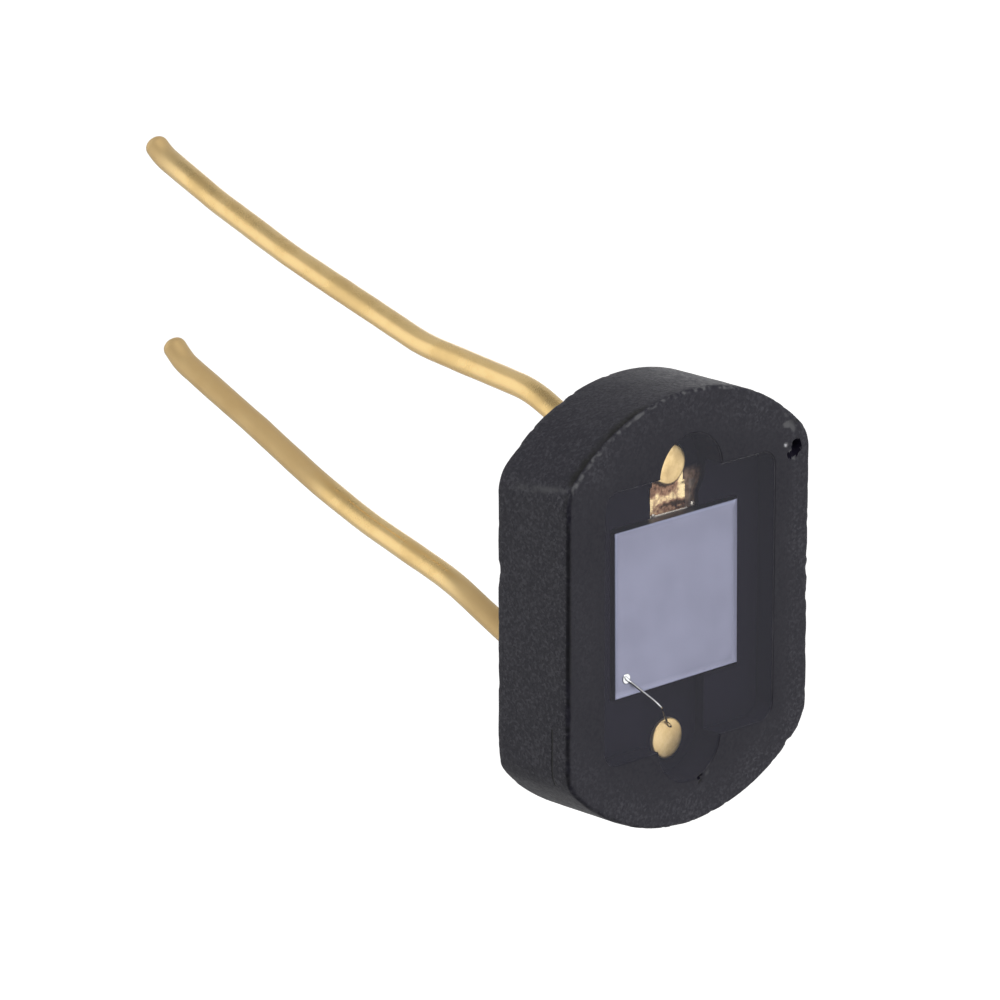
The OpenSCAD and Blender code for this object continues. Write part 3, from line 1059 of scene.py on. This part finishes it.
def lead_grid(y, seat, bends, length, leads):
    """A nail-head lead: its head and shank turned about the lead's axis, and its wire swept along the bends.

    The head is a little domed. The tip is rounded off by shrinking the last rings."""
    head, wire = leads.head / 2, leads.wire / 2
    edge, top = leads.head_edge, seat + leads.head_height
    turn = np.linspace(0, np.pi / 2, 6)
    face = np.linspace(0, head - edge, 12)[:-1]
    dome = HEAD_DOME * np.cos(face / head * np.pi / 2)
    radius = np.concatenate(
        [face, head - edge + edge * np.sin(turn), head - edge + edge * np.cos(turn), [wire, wire, wire]]
    )
    height = np.concatenate(
        [
            top - HEAD_DOME + dome,
            top - HEAD_DOME - edge + edge * np.cos(turn),
            seat + edge - edge * np.sin(turn),
            [seat, seat * 0.5, 0.02 * MM],
        ]
    )
    path = bent_path(y, bends, length)
    tip = np.linalg.norm(path - path[-1], axis=1)
    round_off = np.sqrt(np.clip(1 - ((leads.tip - tip) / leads.tip).clip(0) ** 2, 0, 1))
    thickness = wire - leads.tip * (1 - round_off)
    cap = np.repeat(path[-1:], 4, axis=0) + np.outer(np.linspace(0, TINY, 4), path[-1] - path[-2])
    path = np.concatenate([path, cap[1:]])
    thickness = np.concatenate([thickness, (wire - leads.tip) * np.array([0.66, 0.33, 0.0])])
    turned = lathe(radius, height, WIRE_SIDES) + (0, y, 0)
    # The turned rings run the other way round than the swept ones
    swept = sweep(path, np.array([1.0, 0, 0]), thickness, -thickness, WIRE_SIDES)
    return np.concatenate([turned, swept[1:]])


class PHOTODIODE_OT_leads(bpy.types.Operator):
    """Both gold leads, each with its nail head, its bends and its rounded tip."""

    bl_idname = "photodiode.leads"
    bl_label = "Leads"

    def execute(self, context):
        leads = context.scene.photodiode_leads
        finishes = context.scene.photodiode_finishes
        require(leads.wire < leads.head, "a lead's wire is thicker than its head")
        cathode = (leads.pitch / 2, CATHODE_HIGH.z, CATHODE_BENDS, leads.cathode_length, CATHODE_DULL)
        anode = (-leads.pitch / 2, ANODE_HIGH.z, ANODE_BENDS, leads.anode_length, ANODE_DULL)
        for node, row in (("cathode_lead", cathode), ("anode_lead", anode)):
            y, top, bends, length, dull_spans = row
            mesh = make_mesh(node + "_wire", lead_grid(y, top - leads.head_height, bends, length, leads))
            points, normals = vertex_data(mesh)
            handled = noise(points, 0.5 * MM, 7) * 0.004 * MM + noise(points, 0.15 * MM, 8) * 0.0012 * MM
            behind = smooth_step(-0.2 * MM, -0.6 * MM, points[:, 2])
            move_points(mesh, points + normals * (handled * behind)[:, None])
            material = gold_material(node + "_gold", finishes, dull_spans)
            make_piece(node + "_wire", mesh, material, node)
        return {"FINISHED"}


def strap_stain_and_shade(mesh, leads):
    """Stain and painted shade of each point of the strap, from clean below 0 to dark near 2, which is darkest
    in the painted shade round the head.

    A band across the middle and a stripe on the right are clean. Above the band, by the head, the strap is
    brown, a stain with painted shade under the head, and below it lies a painted shadow: a dark streak in
    front of the cement."""
    points, _ = vertex_data(mesh)
    x, y = points[:, 0] / MM, points[:, 1] / MM
    mottle = 0.5 * noise(points, 0.08 * MM, 21) + 0.5 * noise(points, 0.035 * MM, 22)
    # Brown by the head: stain with painted shade under the head
    brown = smooth_step(1.92, 2.06, y + 0.06 * mottle) * smooth_step(0.36, 0.16, x)
    # Painted shadow: the dark streak in front of the cement
    painted_streak_shadow = np.exp(-(((y - 1.775 + 0.05 * mottle) / 0.06) ** 2)) * smooth_step(-0.42, 0.0, x)
    lower = smooth_step(1.76, 1.7, y)
    stripe = smooth_step(0.24, 0.34, x) * smooth_step(1.8, 1.88, y)
    left = smooth_step(-0.32, -0.4, x) * smooth_step(2.02, 1.94, y)
    # Painted shade round the head
    rim = smooth_step(0.07, 0.01, np.hypot(x, y - leads.pitch / 2 / MM) - leads.head / 2 / MM)
    return 0.2 + 0.45 * mottle + brown + 1.8 * painted_streak_shadow + 0.6 * lower - 0.8 * stripe - 0.25 * left + 1.2 * rim


class PHOTODIODE_OT_strap(bpy.types.Operator):
    """Gold strap: a flat section carried along Y, wide under the die and pressed and stained where bare."""

    bl_idname = "photodiode.strap"
    bl_label = "Gold strap"

    def execute(self, context):
        sizes = context.scene.photodiode_die
        leads = context.scene.photodiode_leads
        post, head = leads.pitch / 2, leads.head / 2
        pad_top = CEMENT_HIGH.y
        shoulder = post - head
        require(pad_top < shoulder, "the strap has no room between the die and the head")
        stretch = np.linspace(pad_top, shoulder, STRAP_STEPS)
        turn = np.linspace(0, np.pi / 2, 16)
        width = sizes.strap_width / 2
        pad = STRAP_HIGH.x
        beside = line(shoulder, post, 6)
        y = np.concatenate([[STRAP_LOW.y, STRAP_LOW.y, pad_top], stretch, beside, post + head * np.sin(turn)])
        half = np.concatenate([[0, pad, pad], 0 * stretch + width, 0 * beside + head, head * np.cos(turn)])
        across = np.linspace(-1, 1, STRAP_COLUMNS)
        low, high = STRAP_LOW.z, STRAP_HIGH.z
        upper = np.stack(np.broadcast_arrays(half[:, None] * across, y[:, None], high), axis=-1)
        lower = np.stack(np.broadcast_arrays(half[:, None] * across[::-1], y[:, None], low), axis=-1)
        grid = np.concatenate([upper, lower], axis=1)
        bare = smooth_step(DIE_HIGH.y, DIE_HIGH.y + 0.08 * MM, y)
        bare *= smooth_step(shoulder, shoulder - 0.1 * MM, y)
        x = half[:, None] * across / width
        crease = smooth_step(0.1, 0.0, np.abs(x - 0.42))
        relief = 0.9 * smooth_step(0.4, 0.95, x) - 0.25 * crease - 0.4 * smooth_step(0.2, -1.0, x)
        grid[:, : len(across), 2] += sizes.strap_relief * bare[:, None] * relief
        mesh = drill(make_mesh("gold_strap_foil", grid), (post,), leads.wire / 2, low - head, high + head)
        paint(mesh, "stain_and_shade", strap_stain_and_shade(mesh, leads))
        material = strap_material(context.scene.photodiode_finishes)
        make_piece("gold_strap_foil", mesh, material, "gold_strap")
        return {"FINISHED"}


def square_outline(low, high, steps):
    """A rectangle with its corners among its points, from its lowest left corner round to the left."""
    corners = [(low.x, low.y), (high.x, low.y), (high.x, high.y), (low.x, high.y), (low.x, low.y)]
    return np.concatenate([line(a, b, steps) for a, b in zip(corners, corners[1:])])


def slab_grid(rings, centre):
    """A closed slab from its rings, with a point in the middle of its bottom and of its top."""
    first, last = np.array(rings[0]), np.array(rings[-1])
    under = np.broadcast_to((*centre, first[0, 2]), first.shape)
    over = np.broadcast_to((*centre, last[0, 2]), last.shape)
    return np.concatenate([[under], rings, between(last, over, 10)[1:], [over]])


class PHOTODIODE_OT_silicon_die(bpy.types.Operator):
    """Square silicon die with a broken edge round its face."""

    bl_idname = "photodiode.silicon_die"
    bl_label = "Silicon die"

    def execute(self, context):
        sizes = context.scene.photodiode_die
        require(0 < sizes.bevel < DIE_HIGH.z - DIE_LOW.z, "the die's bevel doesn't fit the die")
        centre = np.array((DIE_LOW.xy + DIE_HIGH.xy) / 2)
        edge = square_outline(DIE_LOW, DIE_HIGH, DIE_STEPS)
        inward = edge + np.clip(centre - edge, -sizes.bevel, sizes.bevel)
        cosine, sine = np.cos(sizes.die_turn), np.sin(sizes.die_turn)
        edge, inward = (centre + (e - centre) @ [[cosine, sine], [-sine, cosine]] for e in (edge, inward))
        rings = [
            ring(edge, DIE_LOW.z),
            ring(edge, DIE_HIGH.z - sizes.bevel),
            ring((edge + inward) / 2, DIE_HIGH.z - 0.3 * sizes.bevel),
            ring(inward, DIE_HIGH.z),
        ]
        mesh = make_mesh("silicon_die_block", slab_grid(rings, centre))
        material = silicon_material(context.scene.photodiode_finishes)
        make_piece("silicon_die_block", mesh, material, "silicon_die")
        return {"FINISHED"}


class PHOTODIODE_OT_die_cement(bpy.types.Operator):
    """Cement that holds the die: a slab that bulges past the die's upper edge, and a drop on either side."""

    bl_idname = "photodiode.die_cement"
    bl_label = "Die cement"

    def execute(self, context):
        sizes = context.scene.photodiode_die
        require(CEMENT_HIGH.y < DIE_HIGH.y, "the cement reaches past the die")
        centre = np.array((CEMENT_LOW.xy + CEMENT_HIGH.xy) / 2)
        edge = square_outline(CEMENT_LOW, CEMENT_HIGH, CEMENT_STEPS)
        mouth = smooth_step(0.54 * MM, 0.48 * MM, np.abs(edge[:, 0])) * (edge[:, 1] > CEMENT_HIGH.y - TINY)
        blobs = smooth_step(0.36 * MM, 0.46 * MM, np.abs(edge[:, 0])) * 0.4 + 1
        reach = mouth * (DIE_HIGH.y - CEMENT_HIGH.y + sizes.bead * blobs)
        bulge = np.column_stack([0 * reach, reach])
        rings = [
            ring(edge + bulge * 0.9, CEMENT_LOW.z),
            ring(edge + bulge, (CEMENT_LOW.z + CEMENT_HIGH.z) / 2),
            ring(edge + bulge * 0.97, CEMENT_HIGH.z - 0.002 * MM),
            ring(edge + bulge * 0.8, CEMENT_HIGH.z),
        ]
        turn = np.linspace(0, np.pi, 14)
        ball = lathe(np.sin(turn), -DROP_FLATNESS * np.cos(turn), DROP_SIDES)
        drops = [radius * MM * ball + np.multiply(place, MM) for *place, radius in CEMENT_DROPS]
        mesh = make_mesh("die_cement_bead", slab_grid(rings, centre), *drops)
        material = cement_material(context.scene.photodiode_finishes)
        make_piece("die_cement_bead", mesh, material, "die_cement")
        return {"FINISHED"}


class PHOTODIODE_OT_die_contact(bpy.types.Operator):
    """Round contact on the die, turned from a flat profile with a round edge."""

    bl_idname = "photodiode.die_contact"
    bl_label = "Die contact"

    def execute(self, context):
        place = (CONTACT_LOW + CONTACT_HIGH) / 2
        reach = (CONTACT_HIGH.x - CONTACT_LOW.x) / 2
        thick = CONTACT_HIGH.z - CONTACT_LOW.z
        require(thick < reach, "the contact is thicker than wide")
        turn = np.linspace(0, np.pi / 2, 8)
        radius = np.concatenate([[0], reach - thick + thick * np.cos(turn), [0]])
        height = np.concatenate([[0], thick * np.sin(turn), [thick]]) + CONTACT_LOW.z
        mesh = make_mesh("die_contact_pad", lathe(radius, height, CONTACT_SIDES) + (place.x, place.y, 0))
        material = bright_material("contact_metal", context.scene.photodiode_finishes)
        make_piece("die_contact_pad", mesh, material, "die_contact")
        return {"FINISHED"}


class PHOTODIODE_OT_bond_wire(bpy.types.Operator):
    """Bond wire: two legs with a round knee between them, pressed flat on the contact and on the head."""

    bl_idname = "photodiode.bond_wire"
    bl_label = "Bond wire"

    def execute(self, context):
        sizes = context.scene.photodiode_die
        leads = context.scene.photodiode_leads
        contact = (CONTACT_LOW + CONTACT_HIGH) / 2
        start = np.array([contact.x, contact.y, CONTACT_HIGH.z + FOOT_RISE])
        stop = np.array([sizes.landing_right, sizes.landing_up - leads.pitch / 2, ANODE_HIGH.z + FOOT_RISE])
        run = stop - start
        run[2] = 0
        span = np.linalg.norm(run)
        require(2 * sizes.foot_length < sizes.knee_run < span, "the bond wire's knee isn't between its feet")
        run /= span
        foot = run * sizes.foot_length / 2
        knee = start + run * sizes.knee_run + (0, 0, sizes.knee_height)
        bend_in = knee - (knee - start) / np.linalg.norm(knee - start) * 2 * sizes.knee_radius
        bend_out = knee + (stop - knee) / np.linalg.norm(stop - knee) * 2 * sizes.knee_radius
        share = line(0, 1, KNEE_STEPS)[:, None]
        round_knee = (1 - share) ** 2 * bend_in + 2 * share * (1 - share) * knee + share**2 * bend_out
        lift_off, touch_down = start + foot, stop - foot
        path = np.concatenate(
            [
                line(start - foot, lift_off, FOOT_STEPS),
                line(lift_off, bend_in, LEG_STEPS),
                round_knee,
                line(bend_out, touch_down, LEG_STEPS),
                line(touch_down, stop + foot, FOOT_STEPS),
                [stop + foot],
            ]
        )
        along = (path - start) @ run
        from_end = np.minimum(along, span - along) / sizes.foot_length
        pressed = 1 - smooth_step(0, 1, from_end)
        end = np.sqrt(np.clip((from_end + 0.5) / 0.4, 0, 1))
        half_width = (sizes.wire + (sizes.foot - sizes.wire) * pressed) / 2 * end
        half_height = (sizes.wire / 2 + (FOOT_RISE - sizes.wire / 2) * pressed) * end
        across = np.cross((0, 0, 1), run)
        mesh = make_mesh("bond_wire_loop", sweep(path, across, half_width, half_height, BOND_SIDES))
        points, _ = vertex_data(mesh)
        landed = smooth_step(1.2 * sizes.foot_length, 0.7 * sizes.foot_length, span - (points - start) @ run)
        # Painted shade: black beyond the knee for the dark that the far leg reflects, brown at the landing
        # foot
        paint(mesh, "tarnish_and_shade", smooth_step(0.0, 0.1 * MM, (points - knee) @ run) * (1 - 0.5 * landed))
        material = bright_material("bond_wire_metal", context.scene.photodiode_finishes)
        make_piece("bond_wire_loop", mesh, material, "bond_wire")
        return {"FINISHED"}


class PHOTODIODE_OT_resin(bpy.types.Operator):
    """Clear resin: a stepped block sunk a little into the recess's walls, its face drawn up at its edge."""

    bl_idname = "photodiode.resin"
    bl_label = "Clear resin"

    def execute(self, context):
        body = context.scene.photodiode_body
        recess = grown(recess_outline(body), RESIN_SINK)
        deep = grown(deep_outline(body), RESIN_SINK)
        floor, bottom, top = body.recess_floor - RESIN_SINK, RESIN_LOW.z - RESIN_SINK, RESIN_HIGH.z
        require(bottom < floor < top, "the resin's steps aren't one above the other")
        middle = spine(recess, body.well_place)
        face = between(ring(middle, top), ring(recess, top), RESIN_FACE_RINGS)
        share = line(0, 1, RESIN_FACE_RINGS)[:, None]
        face[:, :, 2] += MENISCUS * share**14
        grid = np.concatenate(
            [
                [ring(spine(deep, body.well_place), bottom)],
                between(ring(deep, bottom), ring(deep, floor), RESIN_WALL_RINGS),
                between(ring(deep, floor), ring(recess, floor), RESIN_WALL_RINGS),
                between(ring(recess, floor), ring(recess, top + MENISCUS), RESIN_WALL_RINGS),
                [ring(recess, top + MENISCUS)],
                face[::-1],
            ]
        )
        mesh = make_mesh("clear_resin_fill", grid)
        make_piece("clear_resin_fill", mesh, resin_material(), "clear_resin")
        return {"FINISHED"}


# Stage

WHITE = (1.0, 1.0, 1.0)
# Glow of the floor in mirrors: the place it spreads from and the direction it is brightest in, and the middle
# of a bright spot on the right, in mm
GLOW_PLACE = (0, 100, 0)
GLOW_DIRECTION = (-0.966, -0.259, 0)
SPOT_PLACE = (165, -20, 0)
LAMP_PLACE = Vector((-40, 150, 110)) * MM
LAMP_SIZE = 120 * MM
LAMP_POWER = 0.1
# Width of the camera's picture in mm, and the nearest and farthest that it sees
SENSOR_WIDTH = 36.0
CLIP = (1 * MM, 100.0)
# Soft boxes and dark panels of the studio: the direction each lies in, the angles in degrees at which it
# starts and is full, and the brightness that it adds
SOFT_BOXES = (
    ((0.2, 0.02, 0.98), 42.0, 8.0, 0.6),
    ((-0.12, 0.95, -0.28), 50.0, 15.0, -0.25),
    ((-0.69, -0.2, 0.69), 45.0, 18.0, -0.5),
    ((-0.1, -0.9, 0.4), 50.0, 20.0, -0.3),
    ((0.66, -0.28, 0.69), 45.0, 10.0, 0.42),
    ((0.66, -0.28, 0.69), 9.0, 6.0, -1.3),
)


def studio_world(stage):
    """White to the camera; to light and reflections an even grey with soft boxes and dark panels."""
    shading = Shading(bpy.data.worlds.new("studio"))
    shading.tree.nodes.clear()
    place = shading.add("TexCoord").outputs["Generated"]
    brightness = [stage.ambient]
    for direction, start, full, strength in SOFT_BOXES:
        facing = shading.measure("DOT_PRODUCT", place, Vector(direction).normalized())
        low, high = np.cos(np.radians((start, full)))
        brightness.append(shading.ramp(facing, low, high, 0.0, strength))
    lit = shading.largest(shading.plus(*brightness), 0.0)
    shading.for_camera(
        shading.add("Background", {"Color": WHITE, "Strength": lit}),
        shading.add("Background", {"Color": WHITE, "Strength": 1.0}),
        shading.add("OutputWorld"),
    )
    return shading.owner


def floor_material(finishes):
    """A pale floor that keeps shadows and is white where it is lit.

    In mirrors its left front is brightest and its far side fades out."""
    shading = Shading(bpy.data.materials.new("pale_floor"))
    place = shading.millimetres()
    clouds = shading.ramp(shading.noise(place, 0.01), 0.3, 0.7)
    flat = shading.vector("MULTIPLY", place, (1, 1, 0))
    heading = shading.vector("NORMALIZE", shading.vector("SUBTRACT", flat, GLOW_PLACE))
    left = shading.measure("DOT_PRODUCT", heading, GLOW_DIRECTION)
    near = shading.ramp(shading.measure("LENGTH", flat), 330.0, 480.0, 1.0, 0.3)
    glow = shading.times(shading.ramp(left, 0.4, 1.0, 0.1, 0.58), near)
    aside = shading.measure("DISTANCE", flat, SPOT_PLACE)
    glow = shading.plus(glow, shading.ramp(aside, 40.0, 115.0, 1.0, 0.0))
    ray = shading.add("LightPath").outputs
    seen = shading.largest(ray["Is Camera Ray"], ray["Is Transmission Ray"])
    in_mirrors = shading.times(ray["Is Glossy Ray"], glow)
    return shading.surface(
        {
            "Base Color": shading.blended(clouds, finishes.floor, shade(finishes.floor, 0.98)),
            "Roughness": 0.8,
            "Emission Color": WHITE,
            "Emission Strength": shading.largest(shading.times(seen, 0.6), in_mirrors),
        }
    )


def camera_turn(stage):
    """The camera's right, up and backward directions, as rows."""
    yaw, pitch = stage.yaw, stage.pitch
    back = np.array([-np.sin(yaw) * np.cos(pitch), np.sin(pitch), np.cos(yaw) * np.cos(pitch)])
    right = np.cross((0, 1, 0), back)
    right /= np.linalg.norm(right)
    return np.array([right, np.cross(back, right), back])


class PHOTODIODE_OT_stage(bpy.types.Operator):
    """Floor, world, lamp and camera."""

    bl_idname = "photodiode.stage"
    bl_label = "Stage"

    def execute(self, context):
        scene = context.scene
        stage = scene.photodiode_stage
        require(stage.lens > 0 and stage.distance > 0, "the camera has no lens or no distance")
        half = stage.floor_size / 2
        around = ((-half, -half), (half, -half), (half, half), (-half, half))
        mesh = bpy.data.meshes.new("floor")
        mesh.from_pydata([(x, y, -stage.floor_drop) for x, y in around], [], [(0, 1, 2, 3)])
        mesh.materials.append(floor_material(scene.photodiode_finishes))
        floor = link("floor", mesh)

        scene.world = studio_world(stage)

        lamp = bpy.data.lights.new("overhead", "AREA")
        lamp.shape = "DISK"
        lamp.size = LAMP_SIZE
        lamp.energy = LAMP_POWER
        lamp_object = link("overhead", lamp)
        lamp_object.location = LAMP_PLACE
        lamp_object.rotation_euler = (-LAMP_PLACE).to_track_quat("-Z", "Y").to_euler()

        turn = camera_turn(stage)
        eye = turn.T @ (-stage.shift_right, -stage.shift_up, stage.distance)
        lens = bpy.data.cameras.new("camera")
        lens.lens = stage.lens
        lens.sensor_width = SENSOR_WIDTH
        lens.clip_start, lens.clip_end = CLIP
        scene.camera = link("camera", lens)
        scene.camera.matrix_world = Matrix.Translation(eye) @ Matrix(turn.T.tolist()).to_4x4()
        scene.view_settings.view_transform = "Standard"
        return {"FINISHED"}


OPERATORS = (
    PHOTODIODE_OT_ceramic_body,
    PHOTODIODE_OT_leads,
    PHOTODIODE_OT_strap,
    PHOTODIODE_OT_silicon_die,
    PHOTODIODE_OT_die_cement,
    PHOTODIODE_OT_die_contact,
    PHOTODIODE_OT_bond_wire,
    PHOTODIODE_OT_resin,
    PHOTODIODE_OT_stage,
)
GROUPS = {
    "photodiode_body": BodySizes,
    "photodiode_leads": LeadSizes,
    "photodiode_die": DieSizes,
    "photodiode_finishes": Finishes,
    "photodiode_stage": StageSettings,
}


class PHOTODIODE_PT_panel(bpy.types.Panel):
    """The steps that build the photodiode, and the sizes and colours that they use."""

    bl_idname = "PHOTODIODE_PT_panel"
    bl_label = "Photodiode"
    bl_space_type = "VIEW_3D"
    bl_region_type = "UI"
    bl_category = "Photodiode"

    def draw(self, context):
        for operator in OPERATORS:
            self.layout.operator(operator.bl_idname)
        for attribute in GROUPS:
            group = getattr(context.scene, attribute)
            box = self.layout.box()
            for key in group.__annotations__:
                box.prop(group, key)


def register():
    """Registers the classes and gives the scene its groups of sizes and colours."""
    for group in GROUPS.values():
        bpy.utils.register_class(group)
    for operator in OPERATORS:
        bpy.utils.register_class(operator)
    bpy.utils.register_class(PHOTODIODE_PT_panel)
    for attribute, group in GROUPS.items():
        setattr(bpy.types.Scene, attribute, PointerProperty(type=group))


def unregister():
    """Takes back what register did."""
    for attribute in GROUPS:
        delattr(bpy.types.Scene, attribute)
    bpy.utils.unregister_class(PHOTODIODE_PT_panel)
    for operator in reversed(OPERATORS):
        bpy.utils.unregister_class(operator)
    for group in reversed(GROUPS.values()):
        bpy.utils.unregister_class(group)


def main():
    """Builds every piece and the stage."""
    register()
    bpy.ops.photodiode.ceramic_body()
    bpy.ops.photodiode.leads()
    bpy.ops.photodiode.strap()
    bpy.ops.photodiode.silicon_die()
    bpy.ops.photodiode.die_cement()
    bpy.ops.photodiode.die_contact()
    bpy.ops.photodiode.bond_wire()
    bpy.ops.photodiode.resin()
    bpy.ops.photodiode.stage()


if __name__ == "__main__":
    main()
